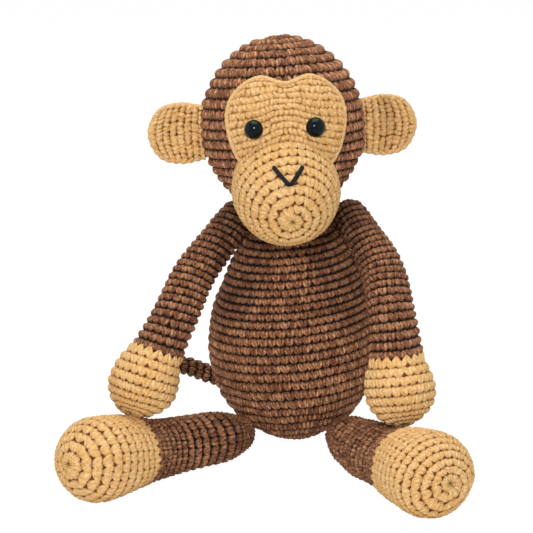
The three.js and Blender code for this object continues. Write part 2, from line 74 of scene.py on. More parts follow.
def setInputs(tree, node, inputs):
    for name, value in dict(inputs).items():
        if isinstance(value, bpy.types.NodeSocket):
            tree.links.new(value, node.inputs[name])
        else:
            node.inputs[name].default_value = value


def addNode(tree, kind, inputs=(), **settings):
    node = tree.nodes.new(kind)
    for name, value in settings.items():
        setattr(node, name, value)
    setInputs(tree, node, inputs)
    return node


def mathNode(tree, operation, *values):
    return addNode(tree, "ShaderNodeMath", enumerate(values), operation=operation).outputs[0]


def noiseNode(tree, place, size, detail=1, roughness=0.5):
    inputs = {"Vector": place, "Scale": 1 / (size * mm), "Detail": detail, "Roughness": roughness}
    return addNode(tree, "ShaderNodeTexNoise", inputs).outputs["Fac"]


def rangeNode(tree, value, low, high, first=0, last=1):
    inputs = {"Value": value, "From Min": low, "From Max": high, "To Min": first, "To Max": last}
    return addNode(tree, "ShaderNodeMapRange", inputs).outputs[0]


def mixNode(tree, share, first, second):
    return addNode(tree, "ShaderNodeMix", {0: share, 6: first, 7: second}, data_type="RGBA").outputs[2]


def newMaterial(name):
    material = bpy.data.materials.new(name)
    material.use_nodes = True
    tree = material.node_tree
    return material, tree, tree.nodes["Principled BSDF"]


yarn = {
    "plies": 5,  # strands round the yarn
    "turnsPerLeg": 1.5,  # strands crossed along one leg of a stitch
    "fibre": 0.5,  # mm, a streak of fibres, drawn coarse enough to show
    "fleck": 1.3,  # mm, a stretch of yarn that took the dye or the light differently
    "cloud": 16,  # mm, slow change of the dye
    "loose": 0.7,  # how far the fibres stray from their strands
    "fleckTone": 1.7, "cloudTone": 0.5,  # how much each lightens the dye
    "tones": (0.75, 1.55),  # sums of these where the dye is all main and all light
    "furrowShadeTop": 0.8,  # share of a strand's height up to which painted shade darkens its furrow
    "fibreRise": 0.35, "fleckRise": 2.2,  # how much each stands out, where a strand is 1
    "strandsPerMm": 0.45,  # strands crossed along a laid yarn
    "roughness": 0.78,
}


# Combed cotton, spun and plied: matt, with fine slanted strands and a faint bloom of loose fibres.
# Painted shade darkens the dye towards the shade colour between the strands, by the furrow share,
# and down in the holes. relief is how far the strands stand out (mm).
def cottonYarn(name, main, light, shadeColour, furrowShade, relief, sheen):
    material, tree, shader = newMaterial(name)
    strandMap = addNode(tree, "ShaderNodeUVMap", uv_map="strands")
    place = addNode(tree, "ShaderNodeSeparateXYZ", {"Vector": strandMap.outputs[0]}).outputs
    along = mathNode(tree, "MULTIPLY", place[1], -yarn["turnsPerLeg"])
    phase = mathNode(tree, "MULTIPLY_ADD", place[0], yarn["plies"], along)
    here = addNode(tree, "ShaderNodeTexCoord").outputs["Object"]
    fibres = noiseNode(tree, here, yarn["fibre"], detail=2, roughness=0.6)
    cloud = noiseNode(tree, here, yarn["cloud"])
    flecks = noiseNode(tree, here, yarn["fleck"])
    loose = mathNode(tree, "MULTIPLY_ADD", fibres, yarn["loose"], phase)
    strand = mathNode(tree, "COSINE", mathNode(tree, "MULTIPLY", loose, 2 * pi))
    raised = rangeNode(tree, strand, -1, 1)
    tone = addNode(tree, "ShaderNodeAttribute", attribute_name="tone").outputs["Fac"]
    # depth: the share of painted shade each place carries, darker down in the holes
    depth = addNode(tree, "ShaderNodeAttribute", attribute_name="depth").outputs["Fac"]
    speckle = mathNode(tree, "MULTIPLY_ADD", flecks, yarn["fleckTone"], tone)
    shade = mathNode(tree, "MULTIPLY_ADD", cloud, yarn["cloudTone"], speckle)
    dyed = mixNode(tree, rangeNode(tree, shade, *yarn["tones"]), linear(main), linear(light))
    # Painted shade between the strands, and with depth the painted shade in the holes
    between = rangeNode(tree, raised, 0, yarn["furrowShadeTop"], furrowShade, 0)
    colour = mixNode(tree, mathNode(tree, "MAXIMUM", between, depth), dyed, linear(shadeColour))
    height = mathNode(tree, "MULTIPLY_ADD", fibres, yarn["fibreRise"], raised)
    uneven = mathNode(tree, "MULTIPLY_ADD", flecks, yarn["fleckRise"], height)
    bump = addNode(tree, "ShaderNodeBump", {"Height": uneven, "Distance": relief * mm, "Strength": 1})
    setInputs(tree, shader, {
        "Base Color": colour, "Normal": bump.outputs[0], "Roughness": yarn["roughness"],
        "Specular IOR Level": 0.25, "Sheen Weight": sheen, "Sheen Roughness": 0.45,
        "Sheen Tint": linear(light),
    })
    return material


# The third colour of each yarn is its painted shade, for furrows, holes and the ground
brownCotton = cottonYarn("brown_cotton_yarn", "#8d573a", "#de9f73", "#190a05", 0.65, 0.32, 0.05)
tanCotton = cottonYarn("tan_cotton_yarn", "#dca962", "#f1ca92", "#743a0c", 0.2, 0.2, 0.08)
blackCotton = cottonYarn("black_embroidery_yarn", "#09090b", "#16161b", "#020203", 0.5, 0.2, 0.02)


# Black acrylic, injection moulded and tumbled bright: a clear gloss over a blue black.
def mouldedEye():
    material, tree, shader = newMaterial("black_acrylic_moulded")
    here = addNode(tree, "ShaderNodeTexCoord").outputs["Object"]
    colour = mixNode(tree, noiseNode(tree, here, 3), linear("#010203"), linear("#060c11"))
    setInputs(tree, shader, {
        "Base Color": colour, "Roughness": 0.05, "IOR": 1.28, "Specular Tint": linear("#d4e8f2"),
    })
    return material


acrylic = mouldedEye()
print("yarn and plastic mixed")

# One leg of a stitch, modelled once: a small ball whose rings are drawn out into a plump drop.
# It stands on the tip of the V and leans outwards to its open end.
legSides = 8
# Its rings: share of the row's height, place across the stitch, half width (both shares of its
# width), crest over the skin and half depth (mm)
leg = [
    (-0.14, 0.080, 0.000, -1.50, 0.00),
    (-0.06, 0.095, 0.120, -1.05, 0.45),
    (0.08, 0.140, 0.200, -0.50, 0.80),
    (0.25, 0.195, 0.275, 0.15, 1.15),
    (0.47, 0.240, 0.320, 0.55, 1.35),
    (0.70, 0.265, 0.315, 0.35, 1.20),
    (0.88, 0.290, 0.240, -0.45, 0.80),
    (1.02, 0.330, 0.000, -1.45, 0.00),
]
# The tan pieces are worked tighter: their legs are broader and flatter, and nearly merge
tightLeg = [(share, x, 1.2 * w, 0.64 * crest, 0.64 * d) for share, x, w, crest, d in leg]
# The leg of a stitch at a change of colour: its end is drawn up between the stitches above it
cuffLeg = tightLeg[:5] + [
    (0.72, 0.310, 0.290, 0.55, 1.20),
    (1.02, 0.405, 0.180, 0.45, 0.90),
    (1.36, 0.470, 0.000, -0.20, 0.00),
]
# A stitch in turned rows shows its back, a low round bead
bead = [
    (-0.10, 0.0, 0.00, -1.10, 0.00),
    (0.02, 0.0, 0.46, -0.40, 0.70),
    (0.27, 0.0, 0.67, 0.25, 1.10),
    (0.53, 0.0, 0.72, 0.50, 1.25),
    (0.79, 0.0, 0.65, 0.25, 1.10),
    (0.99, 0.0, 0.44, -0.40, 0.70),
    (1.10, 0.0, 0.00, -1.10, 0.00),
]


def modelLeg(rings):
    bpy.ops.object.select_all(action="DESELECT")
    bpy.ops.mesh.primitive_uv_sphere_add(segments=legSides, ring_count=len(rings) - 1, radius=1)
    ball = bpy.context.object
    mesh = ball.data
    raw = np.array([v.co[:] for v in mesh.vertices])
    heights = np.unique(np.round(raw[:, 2], 4))
    table = np.array(rings)[np.searchsorted(heights, np.round(raw[:, 2], 4) - 1e-6)]
    swing = np.arctan2(raw[:, 1], raw[:, 0])
    off = np.hypot(raw[:, 0], raw[:, 1]) > 1e-4  # the two poles stay in the middle
    shape = {
        "share": table[:, 0],
        "across": table[:, 1] + table[:, 2] * np.cos(swing) * off,
        "lift": table[:, 3] - table[:, 4] * (1 - np.sin(swing) * off),
        "loops": np.array([l.vertex_index for l in mesh.loops]),
        "starts": np.array([p.loop_start for p in mesh.polygons]),
        "uv": np.array([l.uv[:] for l in mesh.uv_layers[0].data]),
    }
    bpy.data.objects.remove(ball)
    bpy.data.meshes.remove(mesh)
    return shape


def reversedLoops(shape):
    ends = np.append(shape["starts"][1:], len(shape["loops"]))
    order = np.concatenate([np.arange(a, b)[::-1] for a, b in zip(shape["starts"], ends)])
    return {**shape, "loops": shape["loops"][order], "uv": shape["uv"][order] * [-1, 1] + [1, 0]}


def legPair(rings):
    one = modelLeg(rings)
    return [one, {**reversedLoops(one), "across": -one["across"]}]


vStitch, tightStitch, cuffStitch = [legPair(rings) for rings in (leg, tightLeg, cuffLeg)]
beadStitch = [modelLeg(bead)]
print("stitches modelled")


# A skin is gathered as loose parts and becomes one mesh at the end. A part is (places, loops,
# starts, strands, chart, tone, depth), where depth is the share of painted shade.
class Skin:
    def __init__(self, name):
        self.name = name
        self.parts = []

    def add(self, *part):
        self.parts.append(part)

    def finish(self, material):
        vertexCount = loopCount = 0
        joined = []
        for places, loops, starts, *rest in self.parts:
            joined.append((places, loops + vertexCount, starts + loopCount, *rest))
            vertexCount += len(places)
            loopCount += len(loops)
        places, loops, starts, strands, chart, tone, depth = [np.concatenate(p) for p in zip(*joined)]
        mesh = bpy.data.meshes.new(self.name)
        mesh.vertices.add(len(places))
        mesh.vertices.foreach_set("co", (places * mm).astype(np.float32).ravel())
        mesh.loops.add(len(loops))
        mesh.loops.foreach_set("vertex_index", loops.astype(np.int32))
        mesh.polygons.add(len(starts))
        mesh.polygons.foreach_set("loop_start", starts.astype(np.int32))
        mesh.update(calc_edges=True)
        for layerName, values in (("OFBake", chart), ("strands", strands)):
            layer = mesh.uv_layers.new(name=layerName)
            layer.uv.foreach_set("vector", values.astype(np.float32).ravel())
        for attributeName, values in (("tone", tone), ("depth", depth)):
            attribute = mesh.attributes.new(attributeName, "FLOAT", "POINT")
            attribute.data.foreach_set("value", values.astype(np.float32))
        mesh.validate()
        mesh.shade_smooth()
        mesh.materials.append(material)
        piece = bpy.data.objects.new(self.name, mesh)
        bpy.context.collection.objects.link(piece)
        print(self.name, "worked,", len(mesh.polygons), "faces")
        return piece


# Rings of places, one about each centre, in the plane of across and around
def ringsAbout(centres, across, around, radii, swings):
    c, s = np.cos(swings)[None, :, None], np.sin(swings)[None, :, None]
    return centres[:, None] + radii[:, None, None] * (c * across[:, None] + s * around[:, None])


# A form worked in rounds: rings about a middle line, in a table by the distance v from the first
# pole along the skin. across and around are one for all rings or one for each, and need not be
# square, so an egg may be tilted in it.
def makeForm(centres, across, around, radii, tilt=(0, 0), lumps=0.3, floor=False):
    across, around = [np.broadcast_to(way, centres.shape) for way in (across, around)]
    swings = np.linspace(0, 2 * pi, 8, endpoint=False)
    rings = ringsAbout(centres, across, around, radii, swings)
    v = np.r_[0, np.cumsum(np.linalg.norm(np.diff(rings, axis=0), axis=2).mean(1))]
    table = np.c_[centres, across, around, radii]
    return {"v": v, "table": table, "tilt": tilt, "lumps": lumps, "floor": floor, "length": v[-1]}


# A flat form: shape(v, w) gives the place by the height v and the way w along the row
def flatForm(shape, lumps):
    return {"shape": shape, "lumps": lumps, "floor": False}


def formRadius(form, v):
    return 1 + 0 * v if "shape" in form else np.interp(v, form["v"], form["table"][:, 9])


def bare(form, v, angle):
    if "shape" in form:
        return form["shape"](v, angle)
    slope, toward = form["tilt"]
    if slope:
        v = v + slope * formRadius(form, v) * np.cos(angle - radians(toward))
    v = np.clip(v, 0, form["length"])
    row = [np.interp(v, form["v"], column) for column in form["table"].T]
    c, s = row[9] * np.cos(angle), row[9] * np.sin(angle)
    return np.stack([row[i] + c * row[3 + i] + s * row[6 + i] for i in range(3)], -1)


# Stuffing is never quite even under the skin
def lumpy(places, size):
    x, y, z = (places[..., i] for i in range(3))
    wave = np.sin(0.21 * x + 0.13 * z + 1.3) + np.sin(0.17 * y - 0.19 * z + 0.4)
    return size * (wave + np.sin(0.31 * z + 0.23 * x - 0.27 * y + 2.1)) / 1.6


def onForm(form, v, angle, lift):
    poleGap, step = 0.08, 0.06  # mm; the slopes are read a step to each side, and fail on a pole
    if "shape" not in form:
        v = np.clip(v, poleGap, form["length"] - poleGap)
    turnStep = step / np.maximum(formRadius(form, v), 0.5)
    along = bare(form, v + step, angle) - bare(form, v - step, angle)
    around = bare(form, v, angle + turnStep) - bare(form, v, angle - turnStep)
    places = bare(form, v, angle)
    places = places + unit(np.cross(around, along)) * (lift + lumpy(places, form["lumps"]))[..., None]
    if form["floor"]:  # what would sink into the floor is pressed flat on it
        places[..., 2] = np.where(places[..., 2] < 1, np.exp(places[..., 2] - 1), places[..., 2])
    return places


# Where the rows' lines run. A section is (start, stop, row heights) and holds whole rows.
def rowLines(sections):
    rows, heights = np.zeros(1), np.array([sections[0][0]], float)
    for start, stop, pitches in sections:
        v = np.linspace(start, stop, 400)
        pitch = np.interp(v, np.linspace(start, stop, len(pitches)), pitches)
        count = np.r_[0, np.cumsum(2 * np.diff(v) / (pitch[1:] + pitch[:-1]))]
        whole = max(1, round(count[-1]))
        rows = np.r_[rows, rows[-1] + count[1:] * whole / count[-1]]
        heights = np.r_[heights, v[1:]]
    return rows, heights


# Rows of columns put end to end, as one table of stitches
def stitchTable(rows):
    names = ("tip", "tipV", "top", "topV", "spread", "row")  # flat rows have no last column
    return dict(zip(names, map(np.concatenate, zip(*rows))))


rounds = {
    "fewest": 8,  # stitches in a round
    "own": 0.28,  # how far a tip leans from the stitch below it to its own stitch's place
    "ownInChange": 0.75,  # the same in a round with more or fewer stitches than the last
    "lowest": 1.8,  # mm; a lower stitch is left out
}


# Rounds of stitches in one spiral. Each stitch stands in the opening of one below it, so its tip
# has that stitch's place and its open end its own.
def workRounds(form, sections, width=4.25, multiple=3, lean=0.07, seam=0.0):
    rows, heights = rowLines(sections)
    start, stop = heights[0], heights[-1]
    fromPole = formRadius(form, start) < 1
    found = []
    shift = radians(seam)
    below = None
    for row in range(0 if fromPole else -1, round(rows[-1])):
        girth = 2 * pi * formRadius(form, np.interp(max(row + 0.6, 0.3), rows, heights))
        count = max(rounds["fewest"], multiple * int(round(girth / width / multiple)))
        index = np.arange(count)
        shift += lean * 2 * pi / count
        top = 2 * pi * (index + 0.5) / count + shift
        topV = np.interp(row + 1 + index / count, rows, heights)
        if below is None:
            tip, tipV = top, np.interp(row + index / count, rows, heights)
            if fromPole:
                tipV = np.full(count, start + 0.3)
        else:
            parent = ((index + 0.5) * len(below[0]) / count).astype(int)
            own = rounds["own" if count == len(below[0]) else "ownInChange"]
            tip, tipV = below[0][parent] * (1 - own) + top * own, below[1][parent]
        kept = topV - tipV > rounds["lowest"]
        spread = np.full(count, 2 * pi / count)
        found.append([c[kept] for c in (tip, tipV, top, topV, spread, np.full(count, row))])
        below = (top, topV)
    return stitchTable(found)


def chosen(stitches, which):
    return {name: values[which] for name, values in stitches.items()}


def wander(count, size):
    return dice.uniform(-size, size, count)[:, None]


# How far stitches made by hand differ: in height (mm), and in shares of their width and height
handMade = {"lift": 0.10, "width": 0.07, "sway": 0.05, "drop": 0.05, "legWidth": 0.05}


# The legs of all the stitches, each as (places of every copy, the shape that was copied)
def legsOn(form, stitches, pair, unrest=1.0):
    total = len(stitches["tip"])
    s = {name: values[:, None] for name, values in stitches.items()}
    lift, widen, sway, drop = [
        wander(total, handMade[name] * unrest) for name in ("lift", "width", "sway", "drop")
    ]
    worked = []
    for shape in pair:
        share = shape["share"][None, :]
        grown = np.clip(share, 0, 1)
        ease = grown * grown * (3 - 2 * grown)
        across = shape["across"][None, :] * (1 + widen) * (1 + wander(total, handMade["legWidth"]))
        across = across + sway * (1 - share)
        angle = s["tip"] + (s["top"] - s["tip"]) * ease + across * s["spread"]
        v = s["tipV"] + (s["topV"] - s["tipV"]) * (share + drop * (1 - share))
        places = onForm(form, v, angle, shape["lift"][None, :] + lift)
        worked.append((places, {**shape, "shade": s.get("shade", 0)}))
    return worked


# chart is (left, right, bottom, top) of the piece's own map, where every leg has its cell. shade is
# a share of painted shade all over. More painted shade comes in below the height crest (mm over the
# skin), by the share gap for each millimetre, so the holes between stitches are painted dark.
def addStitches(skin, worked, chart=(0, 1, 0, 0.86), toneSpread=0.2, shade=0.0, crest=-0.2, gap=1.2):
    total = sum(len(places) for places, _ in worked)
    left, right, bottom, top = chart
    columns = max(1, int(np.ceil(sqrt(total * (right - left) / (top - bottom)))))
    lines = int(np.ceil(total / columns))
    done = 0
    for places, shape in worked:
        count, points = places.shape[:2]
        number = np.arange(count)[:, None]
        cell, uv = number + done, shape["uv"]
        inCell = 0.06 + 0.88 * uv  # leaves a margin round each cell
        across = left + (right - left) * (cell % columns + inCell[None, :, 0]) / columns
        up = bottom + (top - bottom) * (cell // columns + inCell[None, :, 1]) / lines
        slid = uv[None, :, 1] + dice.uniform(0, 1, (count, 1))
        strands = np.stack([uv[None, :, 0] + 0 * across, slid], -1)
        # Painted shade: the lower a leg's surface lies, the darker it is painted
        sunk = gap * np.maximum(crest - shape["lift"], 0)[None, :]
        depth = np.clip(shade + shape["shade"] + sunk + np.zeros((count, 1)), 0, 1)
        skin.add(
            places.reshape(-1, 3),
            (shape["loops"][None, :] + points * number).ravel(),
            (shape["starts"][None, :] + len(shape["loops"]) * number).ravel(),
            strands.reshape(-1, 2), np.stack([across, up], -1).reshape(-1, 2),
            np.repeat(dice.normal(0, toneSpread, count), points), depth.ravel(),
        )
        done += count


# Rings of places joined into one surface, closed by two middle points or, where the last ring
# meets the first, by itself
# depth is the share of painted shade all over these rings
def addRings(skin, rings, poles, chart, strandScale=(1, 1), tone=0.0, depth=0.0):
    n, sides = rings.shape[:2]
    j = np.arange(sides)
    k = (j + 1) % sides
    bands = n if poles is None else n - 1
    lengths = np.linalg.norm(np.diff(rings, axis=0, append=rings[:1]), axis=2).mean(1)
    s = np.r_[0, np.cumsum(lengths)]
    i = np.arange(bands)[:, None]
    i2 = (i + 1) % n
    loops = np.stack([i * sides + j, i * sides + k, i2 * sides + k, i2 * sides + j], -1).reshape(-1, 4)
    across = np.stack([j, j + 1, j + 1, j], -1) / sides + 0.0 * i[..., None]
    low, high = s[:-1][:bands], s[1:][:bands]
    up = np.stack([low, low, high, high], -1)[:, None, :] + 0 * across
    uv = np.stack([across, up], -1).reshape(-1, 2)
    starts = 4 * np.arange(len(loops))
    places, flat = rings.reshape(-1, 3), loops.ravel()
    total = s[bands]
    if poles is not None:
        first = n * sides
        places = np.concatenate([places, poles])
        lower = np.stack([np.full(sides, first), k, j], 1)
        upper = np.stack([np.full(sides, first + 1), (n - 1) * sides + j, (n - 1) * sides + k], 1)
        inset = 0.05 * total  # the caps share the map's first and last strip
        fan = np.stack([j + 0.5, j + 1, j], 1) / sides
        fan = np.stack([fan, np.array([0, inset, inset]) + 0.0 * lower], -1)
        roof = np.stack([j + 0.5, j, j + 1], 1) / sides
        roof = np.stack([roof, np.array([inset, 0, 0]) + 0.0 * upper], -1)
        starts = np.r_[starts, len(flat) + 3 * np.arange(2 * sides)]
        flat = np.r_[flat, lower.ravel(), upper.ravel()]
        uv = np.concatenate([
            uv + [0, inset], fan.reshape(-1, 2), roof.reshape(-1, 2) + [0, total + inset],
        ])
        total += 2 * inset
    left, right, bottom, top = chart
    across, up = left + (right - left) * uv[:, 1] / total, bottom + (top - bottom) * uv[:, 0]
    onChart = np.stack([across, up], 1)
    skin.add(
        places, flat, starts, uv * strandScale, onChart,
        np.full(len(places), tone), np.full(len(places), depth),
    )


groundStrands = (20, 0.25)  # strands round and along the ground


# The ground under the stitches: one closed surface, painted in the shade colour as the shade between
# them
def addGround(skin, form, start, stop, depth=-1.5, sides=60, rowHeight=2.3):
    v = np.linspace(start, stop, max(4, int((stop - start) / rowHeight)) + 1)
    angle = np.linspace(0, 2 * pi, sides, endpoint=False)
    ends = [formRadius(form, start) < 1, formRadius(form, stop) < 1]
    inner = v[int(ends[0]) : len(v) - int(ends[1])]
    grid = inner[:, None] + 0 * angle
    rings = onForm(form, grid, angle + 0 * grid, np.full(grid.shape, depth))
    poles = []
    for atPole, height, ring in ((ends[0], start, rings[0]), (ends[1], stop, rings[-1])):
        at = onForm(form, np.array([height]), np.zeros(1), np.full(1, depth))[0]
        poles.append(at if atPole else ring.mean(0))
    addRings(skin, rings, np.array(poles), (0, 1, 0.87, 0.99), strandScale=groundStrands, depth=1.0)


# A yarn laid along a path, round in section
def addYarn(skin, path, outward, radii, sides, closed, chart, tone=0.0):
    if closed:
        ahead, behind = np.diff(path, axis=0, append=path[:1]), np.diff(path, axis=0, prepend=path[-1:])
        along = unit(ahead + behind)
    else:
        along = unit(np.gradient(path, axis=0))
    out = unit(outward - along * (outward * along).sum(1)[:, None])
    rings = ringsAbout(path, out, np.cross(along, out), radii, 2 * pi * np.arange(sides) / sides)
    poles = None if closed else np.array([path[0], path[-1]])
    addRings(skin, rings, poles, chart, strandScale=(1, yarn["strandsPerMm"]), tone=tone)


# Attaches a finished skin to its body, if it has one, and hides the part it stands for
def dress(piece, node, body=None):
    if body:
        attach(piece, body)
    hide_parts(node)


# crest and gap set how dark the holes between stitches are painted, as painted shade
knitLook = {
    "brown": {"toneSpread": 0.2, "crest": -0.15, "gap": 1.2},
    "tan": {"toneSpread": 0.08, "crest": -0.1, "gap": 0.75},
}
groundDepth = {"brown": -1.5, "tan": -1.0}  # mm over the skin


def knit(name, form, worked, span, cotton, body, node, shade=0.0):
    skin = Skin(name)
    dye = "brown" if cotton is brownCotton else "tan"
    addStitches(skin, worked, shade=shade, **knitLook[dye])
    addGround(skin, form, *span, depth=groundDepth[dye])
    dress(skin.finish(cotton), node, body)


curveSteps = 100  # between two points of a smooth line


# A smooth line through points, as the part draws it: a centripetal Catmull-Rom spline
def smoothCurve(points, closed=False):
    p = np.array(points, float)
    before = p[-1:] if closed else 2 * p[:1] - p[1:2]
    after = p[:2] if closed else 2 * p[-1:] - p[-2:-1]
    p = np.concatenate([before, p, after])
    dt = np.maximum(np.linalg.norm(np.diff(p, axis=0), axis=1) ** 0.5, 1e-4)
    w = np.linspace(0, 1, curveSteps, endpoint=False)[:, None]
    pieces = []
    for i in range(1, len(p) - 2):
        a, b, c, d = p[i - 1 : i + 3]
        d0, d1, d2 = dt[i - 1 : i + 2]
        t1 = ((b - a) / d0 - (c - a) / (d0 + d1) + (c - b) / d1) * d1
        t2 = ((c - b) / d1 - (d - b) / (d1 + d2) + (d - c) / d2) * d1
        pieces.append((((2 * b - 2 * c + t1 + t2) * w - 3 * b + 3 * c - 2 * t1 - t2) * w + t1) * w + b)
    return np.concatenate(pieces + [p[-2:-1]])


def evenly(line, samples, closed=False):
    s = np.r_[0, np.cumsum(np.linalg.norm(np.diff(line, axis=0), axis=1))]
    at = np.linspace(0, s[-1], samples, endpoint=not closed)
    return np.stack([np.interp(at, s, column) for column in line.T], 1)


# Body: its form. Its skin is worked after the limbs, because it is painted with shade where the arms
# lie close.

body = {
    "radius": 42, "widestHeight": 45.5, "power": 1.85, "neckRadius": 16.9, "neckHeight": 112.3,
    "seatCut": 0.5, "rowTilt": (0.085, -90),
    "rowHeights": [6.4, 6.4, 5.75, 4.6, 3.85, 3.95, 3.9],
    "paintedShadeReach": 24, "paintedCreaseShade": 0.42,  # painted shade where an arm lies close: its reach (mm) and share
}


def bodyForm():
    below, above = body["widestHeight"] + body["seatCut"], body["neckHeight"] - body["widestHeight"]
    low = np.cos(np.linspace(0, pi / 2, 120))  # 1 at the seat and 0 at the widest ring
    high = np.linspace(0, 1, 120)[1:]
    under = body["radius"] * np.maximum(1 - low ** body["power"], 0) ** (1 / body["power"])
    over = body["radius"] - (body["radius"] - body["neckRadius"]) * high ** body["power"]
    z = np.r_[body["widestHeight"] - below * low, body["widestHeight"] + above * high]
    centres = np.c_[np.zeros((len(z), 2)), z]
    radii = np.r_[under, over]
    return makeForm(centres, [0, 1, 0], [-1, 0, 0], radii, body["rowTilt"], lumps=0.35, floor=True)


torso = bodyForm()


def gapToBody(places):
    skinRadius = np.interp(places[:, 2], torso["table"][:, 2], torso["table"][:, 9])
    return np.hypot(places[:, 0], places[:, 1]) - skinRadius


# How much painted shade a crease between two stuffed pieces gets at a gap (mm): 1 halfway to its
# reach, and 0 from there on and where they are sewn together
def paintedShadeAt(gap):
    near = np.clip(1 - gap / body["paintedShadeReach"], 0, 1)
    return 4 * near * (1 - near)


# Head

head = {
    "radius": 39.2, "halfHeight": 42.6, "centre": np.array([-5.7, -5, 157.18]),
    "turn": turn("y", -2) @ turn("z", 3), "crownTilt": 4, "opening": 150,
    "rowHeights": [5.4, 5.8, 5.4, 4.7, 4.5, 4.5],
}


def headPoint(local):
    return local @ head["turn"].T + head["centre"]


def headForm():
    rise = np.radians(np.linspace(0, head["opening"], 260))
    size = np.diag([head["radius"], head["radius"], head["halfHeight"]])
    shape = head["turn"] @ size @ turn("x", -head["crownTilt"])
    centres = np.cos(rise)[:, None] * (shape @ [0, 0, 1])[None, :] + head["centre"]
    back, right = shape @ [0, 1, 0] / head["radius"], shape @ [1, 0, 0] / head["radius"]
    return makeForm(centres, back, right, head["radius"] * np.sin(rise))


skull = headForm()
span = (0, skull["length"])
worked = legsOn(skull, workRounds(skull, [(*span, head["rowHeights"])]), vStitch)
knit("head_crochet", skull, worked, span, brownCotton, "head", "head_skin")

# Neck: two rounds that gather the head onto the body

neck = {
    "foot": (0, 0, 112.2), "footRadius": 17.4, "top": (-4.6, -3.4, 121.5), "topRadius": 19.3,
    "drawnIn": 1.2,  # by the sewing, halfway up
}


def neckForm():
    up = np.linspace(0, 1, 40)[:, None]
    centres = np.array(neck["foot"]) * (1 - up) + np.array(neck["top"]) * up
    drawnIn = neck["drawnIn"] * np.sin(pi * up[:, 0])
    radii = neck["footRadius"] * (1 - up[:, 0]) + neck["topRadius"] * up[:, 0] - drawnIn
    return makeForm(centres, [0, 1, 0], [-1, 0, 0], radii, lumps=0.1)


collar = neckForm()
skin = Skin("neck_crochet")
addStitches(skin, legsOn(collar, workRounds(collar, [(0, collar["length"], [4.6])]), vStitch))
addGround(skin, collar, 0, collar["length"])
piece = skin.finish(brownCotton)
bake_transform(piece)
dress(piece, "neck_seam")

# Muzzle

muzzle = {
    "radius": 25.1, "depth": 29, "place": np.array([-1.2, -33.2, -25]),
    "turn": turn("z", 2.5) @ turn("x", 112), "backAngle": -35, "rowHeights": [4.5, 4.8, 5.1, 5.4, 5.3],
}


def muzzleForm():
    rise = np.radians(np.linspace(90, muzzle["backAngle"], 260))
    right, up, out = (head["turn"] @ muzzle["turn"]).T
    centres = headPoint(muzzle["place"]) + (muzzle["depth"] * np.sin(rise))[:, None] * out
    return makeForm(centres, up, right, muzzle["radius"] * np.cos(rise), lumps=0.2)


def outsideHead(places):
    local = (places - head["centre"]) @ head["turn"]
    sizes = np.array([head["radius"], head["radius"], head["halfHeight"]]) - 1
    return ((local / sizes) ** 2).sum(-1) > 1


snout = muzzleForm()
span = (0, snout["length"])
worked = legsOn(snout, workRounds(snout, [(*span, muzzle["rowHeights"])], width=4.1), tightStitch)
worked = [(places[outsideHead(places.mean(1))], shape) for places, shape in worked]
knit("muzzle_crochet", snout, worked, span, tanCotton, "head", "muzzle_skin")

# Face patch: worked flat in turned rows, sewn on over the head and edged with slip stitches

patch = {
    "thickness": 2.6, "gap": 0.3, "middle": np.array([0, 3.25]),
    "outline": [(0, 24), (11.9, 26.6), (23.1, 19.3), (26.9, 9), (22, -10.5), (13.2, -17.5)],
    "rowHeight": 3.05, "rows": 18, "stitchWidth": 2.0, "halfWidth": 29, "rimRadius": 1.2,
    "edge": 0.93,  # share of the outline that the stitches keep inside
    "squeezeBand": 0.06, "squeezeRoom": 0.07,  # inside the edge, in shares of the outline
    "placeStray": 0.14, "topShares": (0.94, 1.1),
    # the rows start below the patch, arch over the muzzle and more so higher up (mm), and dip
    # between the two lobes of the brow
    "rowStart": -21.5, "rowSpan": 46, "arch": 1.5, "archMore": 3.4, "archWidth": 8.5,
    "dip": 2.4, "dipWidth": 5, "lowRowRise": 2, "lowRowDroop": 0.013,
    "rimShare": 0.972, "rimLift": 1.5, "rimStitches": 60, "rimBeading": 0.06,
}
# The parts of each flat piece's own map for its ground and its rim
groundChart, rimChart = (0, 1, 0.81, 0.9), (0, 1, 0.91, 0.995)


def onHead(x, z, lift):
    inside = np.maximum(1 - (x / head["radius"]) ** 2 - (z / head["halfHeight"]) ** 2, 0.02)
    local = np.stack([x, -head["radius"] * np.sqrt(inside), z], -1)
    normal = unit(local / np.array([head["radius"], head["radius"], head["halfHeight"]]) ** 2)
    return headPoint(local + normal * np.asarray(lift)[..., None])


def patchOutline(samples):
    half = patch["outline"]
    whole = smoothCurve(half + [(-x, z) for x, z in half[:0:-1]], closed=True)
    return evenly(whole, samples, closed=True)


outline = patchOutline(180)


# How far out a place is between a middle, 0, and an outline round it, 1
def shareOut(x, z, edge, middle):
    reach = edge - middle
    around = np.arctan2(reach[:, 1], reach[:, 0])
    order = np.argsort(around)
    toward = np.arctan2(z - middle[1], x - middle[0])
    far = np.interp(toward, around[order], np.hypot(*reach.T)[order], period=2 * pi)
    return np.hypot(x - middle[0], z - middle[1]) / far


# Rows wave: they arch over the muzzle and follow the two lobes of the brow
def patchRow(v, x):
    up = np.clip(v / patch["rowSpan"], 0, 1)
    arch = patch["arch"] + patch["archMore"] * np.sin(pi * up)
    arch = arch * np.exp(-((x / patch["archWidth"]) ** 2))
    arch = arch - patch["dip"] * up * np.exp(-((x / patch["dipWidth"]) ** 2))
    low = (1 - up) * (patch["lowRowRise"] - patch["lowRowDroop"] * x**2)
    return patch["rowStart"] + v + arch + low


